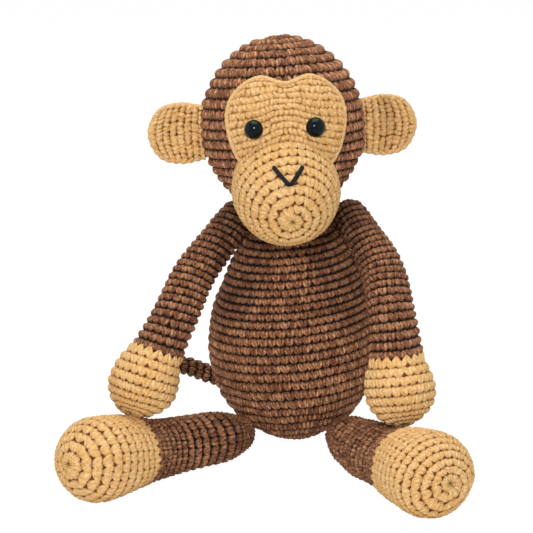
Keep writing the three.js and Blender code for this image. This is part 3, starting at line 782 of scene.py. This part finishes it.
def onPatch(v, x):
    z = patchRow(v, x)
    share = shareOut(x, z, outline, patch["middle"])
    start, room = patch["edge"] - patch["squeezeBand"], patch["squeezeRoom"]
    over = np.maximum(share - start, 0)  # stitches at the edge are squeezed in under the rim
    squeezed = np.where(over > 0, start + room * (1 - np.exp(-over / room)), share)
    scale = squeezed / np.maximum(share, 1e-6)
    x, z = [middle + (at - middle) * scale for middle, at in zip(patch["middle"], (x, z))]
    return onHead(x, z, patch["thickness"] + patch["gap"] + 0 * x)


beads = {"lean": 0.25, "stray": 0.25, "rowStray": 0.2}  # shares of their width, and mm


# The tips of a row of beads: one row leans one way and the next the other
def leanTips(tops, width, row):
    stray = dice.uniform(-beads["stray"], beads["stray"], len(tops))
    return tops + width * (beads["lean"] * (-1) ** row + stray)


def startOfRow(row, height, count):
    return row * height + dice.uniform(-beads["rowStray"], beads["rowStray"], count)


def patchStitches():
    rows = []
    count = round(2 * patch["halfWidth"] / patch["stitchWidth"])
    width = 2 * patch["halfWidth"] / count
    for row in range(patch["rows"]):
        stray = dice.uniform(-patch["placeStray"], patch["placeStray"], count)
        x = -patch["halfWidth"] + width * (np.arange(count) + 0.5 * (row % 2) + stray)
        tip = leanTips(x, width, row)
        low = startOfRow(row, patch["rowHeight"], count)
        top = low + patch["rowHeight"] * dice.uniform(*patch["topShares"], count)
        rows.append([tip, low, x, top, np.full(count, width)])
    stitches = stitchTable(rows)
    middles = (stitches["tipV"] + stitches["topV"]) / 2
    share = shareOut(stitches["top"], patchRow(middles, stitches["top"]), outline, patch["middle"])
    return chosen(stitches, share < 1.0)


skin = Skin("face_patch_crochet")
flat = flatForm(onPatch, 0.25)
worked = legsOn(flat, patchStitches(), beadStitch, unrest=2.2)
# crest and gap set the painted shade between the beads
beadLook = {"chart": (0, 1, 0, 0.8), "toneSpread": 0.08, "crest": 0.05, "gap": 0.55}
addStitches(skin, worked, **beadLook)
layers = [(s, patch["thickness"] - 0.8) for s in (0.2, 0.4, 0.6, 0.8, 0.93)] + [(0.97, 0.9)]
layers += [(s, patch["gap"]) for s in (0.93, 0.6, 0.3)]
rings = []
for share, lift in layers:
    ring = patch["middle"] + share * (outline[::2] - patch["middle"])
    rings.append(onHead(*ring.T, lift))
middle = [onHead(*patch["middle"], lift) for _, lift in (layers[0], layers[-1])]
rings = np.array(rings)[:, ::-1]
# The ground is painted partly in the shade colour, as painted shade between the beads
addRings(skin, rings, np.array(middle), groundChart, strandScale=groundStrands, depth=0.6)
rim = (patch["middle"] + patch["rimShare"] * (patchOutline(360) - patch["middle"])[::-1]).T
path = onHead(*rim, patch["rimLift"])
outward = onHead(*rim, patch["rimLift"] + 1) - path
beading = 1 + patch["rimBeading"] * np.cos(np.linspace(0, 2 * pi * patch["rimStitches"], 360))
addYarn(skin, path, outward, patch["rimRadius"] * beading, 10, True, rimChart, tone=0.1)
dress(skin.finish(tanCotton), "face_patch", "head")

# Ears: two faces worked in rows that bend round with the rim

ears = {
    "length": 24.5, "height": 29.8, "thickness": 5.2, "rootHeight": 25.5, "drop": 1.9, "cup": 2.2,
    "curve": [(0.36, 0.97), (0.78, 0.78)], "rows": 8, "stitchWidth": 2.2, "rimRadius": 1.05,
    "tucked": 2.8,  # how far the root goes in between the stitches of the head
    "bendFrom": 0.78,  # where along the rim the outermost row has its ends
    "creaseDepth": {"left": 2.4, "right": 0.3},  # of a crease down the middle (mm)
    # painted shade: down the crease, and all over the ear
    "paintedCreaseShade": {"left": 0.26, "right": 0.0},
    "shade": {"left": 0.09, "right": 0.0},
    "placeStray": 0.12, "groundLift": -0.8, "rimShare": 0.955,
    "scallop": (0.04, 0.24), "scallopWidth": 3.8,  # of the rim, smooth above and deeper below
}
half = [(-ears["tucked"], ears["rootHeight"] / 2), (0, ears["rootHeight"] / 2 + 0.4)]
half += [(ears["length"] * x, ears["height"] / 2 * z) for x, z in ears["curve"]]
earEdge = evenly(smoothCurve(half + [(ears["length"], 0)] + [(x, -z) for x, z in half[::-1]]), 121)
earMiddle = np.array([ears["length"] / 2 - 1, 0])
earWay = np.linalg.norm(np.diff(earEdge, axis=0), axis=1).sum()


# A place in an ear: p from the root, 0, to the rim, 1, and w from the top, 0, to the bottom, 1.
# Rows near the head are straight, and the outer ones bend round with the rim.
def inEar(p, w):
    s, p = 1 - 2 * np.clip(w, 0, 1), np.clip(p, 0, 1)
    middleX = (ears["length"] + ears["tucked"]) * p - ears["tucked"]
    endX = (ears["bendFrom"] * ears["length"] + ears["tucked"]) * p - ears["tucked"]
    endZ = np.interp(endX, earEdge[:61, 0], earEdge[:61, 1])
    return middleX - (middleX - endX) * s**2, endZ * s


def crease(x):
    return np.exp(-(((x / ears["length"] - 0.5) / 0.15) ** 2))


def onEar(sign, side, x, z, lift):
    share = np.clip(shareOut(x, z, earEdge, earMiddle), 0, 0.999)
    thick = ears["thickness"] / 2 * np.sqrt(1 - share**4)
    reach = head["radius"] * sqrt(1 - (ears["drop"] / head["halfHeight"]) ** 2) + 2 * patch["gap"]
    deeper = ears["creaseDepth"]["left" if sign > 0 else "right"] * crease(x)
    dish = ears["cup"] * (1 - share**2) + deeper * (1 - share**4)
    return headPoint(np.stack([sign * (reach + x), dish + side * (thick + lift), z - ears["drop"]], -1))


def earStitches():
    rows = []
    height = ears["length"] / ears["rows"]
    for row in range(ears["rows"]):
        x, z = inEar((row + 0.6) / ears["rows"], np.linspace(0, 1, 60))
        count = round(np.hypot(np.diff(x), np.diff(z)).sum() / ears["stitchWidth"])
        width = earWay / count
        stray = dice.uniform(-ears["placeStray"], ears["placeStray"], count)
        at = (np.arange(count) + 0.3 + 0.4 * (row % 2) + stray) * width
        tip = leanTips(at, width, row)
        low = startOfRow(row, height, count)
        top = np.full(count, height * (row + (0.95 if row == ears["rows"] - 1 else 1.02)))
        rows.append([tip, low, at, top, np.full(count, width)])
    return stitchTable(rows)


def makeEar(name, sign):
    skin = Skin(f"ear_crochet_{name}")
    worked = []
    for side in (-1, 1):
        def shape(v, w, side=side):
            w = w / earWay
            w = w if sign * side < 0 else 1 - w  # keeps the skin's outer side out
            return onEar(sign, side, *inEar(v / ears["length"], w), 0.0)
        stitches = earStitches()
        stitches["shade"] = ears["paintedCreaseShade"][name] * crease(stitches["topV"] - 1.5)
        worked += legsOn(flatForm(shape, 0.2), stitches, beadStitch, unrest=2.2)
    addStitches(skin, worked, shade=ears["shade"][name], **beadLook)
    closing = earEdge[-1] + np.linspace(0, 1, 12)[1:-1, None] * (earEdge[0] - earEdge[-1])
    around = np.concatenate([earEdge[::2], closing])
    rings = []
    shares = (0.3, 0.6, 0.85, 0.97)
    for share, side in [(s, -1) for s in shares] + [(s, 1) for s in shares[::-1]]:
        ring = earMiddle + share * (around - earMiddle)
        rings.append(onEar(sign, side, *ring.T, ears["groundLift"]))
    poles = [onEar(sign, side, *earMiddle, ears["groundLift"]) for side in (-1, 1)]
    rings = np.array(rings)[:, ::-sign]
    # The ground is painted all in the shade colour, as painted shade between the beads
    addRings(skin, rings, np.array(poles), groundChart, strandScale=groundStrands, depth=1.0)
    fine = evenly(earEdge, 241)
    inner, outer = [earMiddle + share * (fine - earMiddle) for share in (ears["rimShare"], 1.2)]
    path = onEar(sign, 0, *inner.T, 0.0)[::-sign]
    outward = onEar(sign, 0, *outer.T, 0.0)[::-sign] - path
    depths = np.linspace(*ears["scallop"], 241)[::-sign]
    beading = 1 + depths * np.cos(np.linspace(0, 2 * pi, 241) * round(earWay / ears["scallopWidth"]))
    addYarn(skin, path, outward, ears["rimRadius"] * beading, 10, False, rimChart)
    piece = skin.finish(tanCotton)
    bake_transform(piece)
    dress(piece, f"ear_{name}")


bothSides = (("left", 1), ("right", -1))
for name, sign in bothSides:
    makeEar(name, sign)

# Eyes: moulded domes with a shank that goes through the face

eyes = {
    "radius": 4.5, "height": 3.9, "shank": 1.6, "shankLength": 11, "across": 13.1, "shift": -1.2,
    "lift": 4.1, "rim": 0.35, "rimDepth": 0.15,
    "seat": 3.2,  # over the skull, in the face of the patch
}


def makeEye(name, sign):
    middle = (eyes["shift"] + sign * eyes["across"], eyes["lift"])
    seat, above = [onHead(*middle, lift) for lift in (eyes["seat"], eyes["seat"] + 1)]
    bpy.ops.object.select_all(action="DESELECT")
    bpy.ops.mesh.primitive_uv_sphere_add(segments=32, ring_count=20, radius=eyes["radius"] * mm)
    dome = bpy.context.object
    dome.name = f"eye_dome_{name}"
    bpy.ops.object.mode_set(mode="EDIT")
    bpy.ops.mesh.select_all(action="SELECT")
    bpy.ops.mesh.bisect(plane_co=(0, 0, 0), plane_no=(0, 0, 1), clear_inner=True, use_fill=True)
    bpy.ops.mesh.select_all(action="SELECT")
    bpy.ops.transform.resize(value=(1, 1, eyes["height"] / eyes["radius"]), center_override=(0, 0, 0))
    bpy.ops.object.mode_set(mode="OBJECT")
    for face in dome.data.polygons:
        face.select = len(face.vertices) > 8
    bpy.ops.object.mode_set(mode="EDIT")
    bpy.ops.mesh.select_mode(type="FACE")
    bpy.ops.mesh.inset(thickness=eyes["rim"] * mm, depth=eyes["rimDepth"] * mm)
    bpy.ops.mesh.inset(thickness=(eyes["radius"] - eyes["shank"] - eyes["rim"]) * mm, depth=0)
    down = (0, 0, -eyes["shankLength"] * mm)
    bpy.ops.mesh.extrude_region_move(TRANSFORM_OT_translate={"value": down})
    bpy.ops.object.mode_set(mode="OBJECT")
    dome.rotation_euler = Vector(above - seat).to_track_quat("Z", "Y").to_euler()
    dome.location = Vector(seat) * mm
    bpy.ops.object.transform_apply(location=True, rotation=True, scale=True)
    bpy.ops.object.shade_smooth_by_angle(angle=radians(50))
    dome.data.materials.append(acrylic)
    dress(dome, f"eye_{name}", "head")


for name, sign in bothSides:
    makeEye(name, sign)
print("eyes set in")

# Nose: a V of two long stitches in black yarn, whose ends go down into the muzzle

nose = {
    "radius": 1.0, "lift": 1.0, "sunk": 3.2,  # mm over the muzzle, and how much lower at the ends
    "ends": 0.2,  # share of each half of a stitch that goes down
    "halfAngle": 15.5, "topRise": 56.5, "footRise": 39.5, "footAngle": 0.8, "shift": -2.2,  # degrees
}


def onMuzzle(across, rise, lift):
    x, y = np.sin(np.radians(across)), np.sin(np.radians(rise))
    sides, depth = muzzle["radius"] + lift, muzzle["depth"] + lift
    local = np.stack([sides * x, sides * y, depth * np.sqrt(1 - x**2 - y**2)], -1)
    return headPoint(local @ muzzle["turn"].T + muzzle["place"])


def makeNose(name, sign):
    t = np.linspace(0, 1, 49)
    across = nose["shift"] + sign * (nose["halfAngle"] + (nose["footAngle"] - nose["halfAngle"]) * t)
    rise = nose["topRise"] + (nose["footRise"] - nose["topRise"]) * t
    goneDown = np.maximum(np.abs(2 * t - 1) - (1 - nose["ends"]), 0) / nose["ends"]
    lift = nose["lift"] - nose["sunk"] * goneDown
    path = onMuzzle(across, rise, lift)
    outward = onMuzzle(across, rise, lift + 1) - path
    skin = Skin(f"nose_yarn_{name}")
    addYarn(skin, path, outward, np.full(len(t), nose["radius"]), 12, False, (0, 1, 0, 1))
    dress(skin.finish(blackCotton), f"nose_stitch_{name}", "head")


for name, sign in bothSides:
    makeNose(name, sign)

# Limbs, each worked from its end to its root with a change of colour

def limbForm(limb, floor=False):
    curve = smoothCurve(limb["points"])
    s = np.r_[0, np.cumsum(np.linalg.norm(np.diff(curve, axis=0), axis=1))]
    length = s[-1]
    change = length - limb["cuffBack"]
    knots = [s[curveSteps * i] for i in range(len(limb["radii"]) - 1)] + [change]
    root, cuff, end = limb["radii"][0], limb["radii"][-1], limb["endRadius"]
    cap = np.sin(np.linspace(0, pi / 2, 40))
    d = np.r_[length + end * cap[::-1], np.linspace(length, 0, 300)[1:-1], -root * cap]
    on = np.clip(d, 0, length)
    past = (length - on) / limb["cuffBack"]
    swell = end - (end - cuff) * past ** limb["cuffPower"]
    radii = np.where(on >= change, swell, np.interp(on, knots, limb["radii"]))
    fine, ahead, behind = [
        np.stack([np.interp(np.clip(on + step, 0, length), s, column) for column in curve.T], 1)
        for step in (0, 0.5, -0.5)
    ]
    along = unit(ahead - behind)
    reference = np.array(limb["reference"], float)
    across = unit(reference - along * (along @ reference)[:, None])
    radii = np.sqrt(np.maximum(radii**2 - (d - on) ** 2, 0))
    form = makeForm(
        fine + along * (d - on)[:, None], across, -np.cross(along, across), radii,
        limb.get("rowTilt", (0, 0)), limb["lumps"], floor,
    )
    form["change"] = float(np.interp(-change, -d, form["v"]))
    return form


def knitLimb(form, look, end, limb, body):
    change, length = form["change"] - look.get("earlier", 0), form["length"]
    sections = [(0, change, look["endRows"]), (change, length, look["rows"])]
    stitches = workRounds(form, sections, seam=look["seam"])
    middles = bare(form, (stitches["tipV"] + stitches["topV"]) / 2, stitches["top"])
    # Painted shade where the limb lies close to the body
    stitches["shade"] = look["paintedCreaseShade"] * paintedShadeAt(gapToBody(middles))
    tanRows = round(rowLines(sections[:1])[0][-1])
    row = stitches["row"]
    tan = legsOn(form, chosen(stitches, row < tanRows - 1), tightStitch)
    tan += legsOn(form, chosen(stitches, row == tanRows - 1), cuffStitch)
    brown = legsOn(form, chosen(stitches, row >= tanRows), vStitch)
    knit(end[0], form, tan, (0, change), tanCotton, body, end[1])
    knit(limb[0], form, brown, (change, length), brownCotton, body, limb[1], shade=look["shade"])


legs = {
    "left": {
        "hip": (24.45, -27.16, 8.49), "path": [(3.6, -19), (9.8, -35), (33.5, -86.8)],
        "earlier": 11, "rowTilt": (0.25, 180),
    },
    "right": {
        "hip": (-27.99, -23.49, 8.49), "path": [(-8, -15.5), (-34.9, -36.4), (-61.3, -69.2)],
        "earlier": 12,
    },
}
legLook = {
    "heights": (12, 13.7, 19.3), "radii": [9, 12, 13.7, 14.4], "endRadius": 19.3, "cuffBack": 33,
    "cuffPower": 1.7, "reference": (0, 0, 1), "lumps": 0.3, "seam": 180,
    "endRows": [3.7, 4.8, 4.8, 4.7, 4.5, 4.4, 4.3], "rows": [4.4], "shade": 0.25, "paintedCreaseShade": 0.15,
}
arms = {
    "left": [
        (27.69, 3.89, 110.68), (41.09, -31.41, 92.58), (44.69, -57.11, 74.48), (47.25, -77.4, 45.9),
    ],
    "right": [
        (-27.69, 3.89, 110.68), (-47.89, -27.51, 88.18), (-59.49, -52.61, 66.78), (-70.1, -68.3, 47.2),
    ],
}
armLook = {
    "radii": [8.6, 9.9, 11.1, 12.1], "endRadius": 16, "cuffBack": 15, "cuffPower": 1.8,
    "reference": (1, 0, 0), "lumps": 0.3, "seam": 90, "endRows": [3.7, 4.7, 4.5, 4.4], "rows": [4.3],
    "rowTilt": (0.42, 90), "shade": 0.23, "paintedCreaseShade": 0.36,
}
for side, _ in bothSides:
    hip = legs[side]["hip"]
    ways = zip(legs[side]["path"], legLook["heights"])
    points = [(hip[0] + x, hip[1] + y, height - body["seatCut"]) for (x, y), height in ways]
    look = {**legLook, **legs[side], "points": [hip, *points]}
    names = [(f"{part}_crochet_{side}", f"{part}_{side}") for part in ("foot", "leg", "hand", "arm")]
    knitLimb(limbForm(look, floor=True), look, *names[:2], f"leg_{side}")
    look = {**armLook, "points": arms[side]}
    knitLimb(limbForm(look), look, *names[2:], f"arm_{side}")

# The skin of the body, with painted shade where the arms lie close to it
span = (0, torso["length"])
stitches = workRounds(torso, [(*span, body["rowHeights"])])
places = bare(torso, stitches["topV"], stitches["top"])
lines = np.concatenate([evenly(smoothCurve(points), 60) for points in arms.values()])
gaps = np.linalg.norm(places[:, None] - lines[None], axis=2).min(1) - armLook["radii"][1]
stitches["shade"] = body["paintedCreaseShade"] * paintedShadeAt(gaps)
worked = legsOn(torso, stitches, vStitch)
knit("body_crochet", torso, worked, span, brownCotton, "torso", "body_skin")

# Tail

tail = {
    "points": [
        (-2.79, 39.94, 20.41), (-20.79, 44.94, 16.91), (-39.79, 42.44, 18.61), (-55.79, 38.44, 25.21),
        (-83.29, 29.94, 31.41),
    ],
    "radii": [4.9, 4.9, 4.2], "endRadius": 4.2, "cuffBack": 16.8, "cuffPower": 1,
    "reference": (0, 0, 1), "lumps": 0.1, "rowHeight": 4.3,
}
form = limbForm(tail)
span = (0, form["length"])
worked = legsOn(form, workRounds(form, [(*span, [tail["rowHeight"]])], width=4.1, seam=180), vStitch)
knit("tail_crochet", form, worked, span, brownCotton, "tail", "tail", shade=0.12)

# Camera, lamps and floor

camera = {"place": (-13.386, -900, 291.30), "pitch": 12.82, "lens": 127.15}
place = Vector(camera["place"]) * mm
bpy.ops.object.camera_add(location=place, rotation=(radians(90 - camera["pitch"]), 0, 0))
photoCamera = bpy.context.object
photoCamera.name = "photo_camera"
photoCamera.data.lens = camera["lens"]
photoCamera.data.sensor_width = 36
photoCamera.data.clip_start = 0.05
bpy.context.scene.camera = photoCamera

lamps = [
    # name, place (m), size (m), power (W)
    ("key_softbox", (-0.10, -1.15, 0.65), 0.28, 9.2),
    ("top_softbox", (0.0, 0.0, 1.2), 0.9, 9.5),
    ("right_softbox", (1.2, -0.5, 0.5), 0.8, 0.9),
    ("left_softbox", (-1.2, -0.4, 0.5), 0.8, 1.2),
]
aim = Vector((0, -0.02, 0.08))  # all lamps face the belly
for name, place, size, power in lamps:
    bpy.ops.object.light_add(type="AREA", location=place)
    lamp = bpy.context.object
    lamp.name = name
    lamp.data.size = size
    lamp.data.energy = power
    lamp.rotation_euler = (aim - Vector(place)).to_track_quat("-Z", "Y").to_euler()


# White where the camera, gloss or glass sees it, and plain to all other light
def whiteSeen(tree, plain, whiteShader, share):
    rays = addNode(tree, "ShaderNodeLightPath").outputs
    seen = rays["Is Camera Ray"]
    for other in ("Is Glossy Ray", "Is Transmission Ray"):
        seen = mathNode(tree, "MAXIMUM", seen, rays[other])
    part = mathNode(tree, "MULTIPLY", seen, share)
    return addNode(tree, "ShaderNodeMixShader", {0: part, 1: plain, 2: whiteShader}).outputs[0]


studio = {"fill": 0.20, "floorWhite": 0.90, "floorGlow": 1.075}
world = bpy.data.worlds.new("studio")
world.use_nodes = True
bpy.context.scene.world = world
tree = world.node_tree
tree.nodes.clear()
white = linear("#ffffff")
dim = addNode(tree, "ShaderNodeBackground", {"Color": white, "Strength": studio["fill"]})
full = addNode(tree, "ShaderNodeBackground", {"Color": white, "Strength": 1.0})
sky = whiteSeen(tree, dim.outputs[0], full.outputs[0], 1.0)
addNode(tree, "ShaderNodeOutputWorld", {"Surface": sky})

# Matt white paper: a faint grain
bpy.ops.object.select_all(action="DESELECT")
bpy.ops.mesh.primitive_plane_add(size=6, location=(0, 0, 0))
floor = bpy.context.object
floor.name = "floor"
paper, tree, shader = newMaterial("matt_white_paper")
grain = addNode(tree, "ShaderNodeTexNoise", {"Scale": 400})
tint = mixNode(tree, grain.outputs["Fac"], linear("#f4f4f4"), linear("#fbfbfb"))
setInputs(tree, shader, {"Base Color": tint, "Roughness": 0.9})
glow = addNode(tree, "ShaderNodeEmission", {"Color": white, "Strength": studio["floorGlow"]})
surface = whiteSeen(tree, shader.outputs[0], glow.outputs[0], studio["floorWhite"])
tree.links.new(surface, tree.nodes["Material Output"].inputs["Surface"])
floor.data.materials.append(paper)

bpy.context.scene.view_settings.view_transform = "Standard"
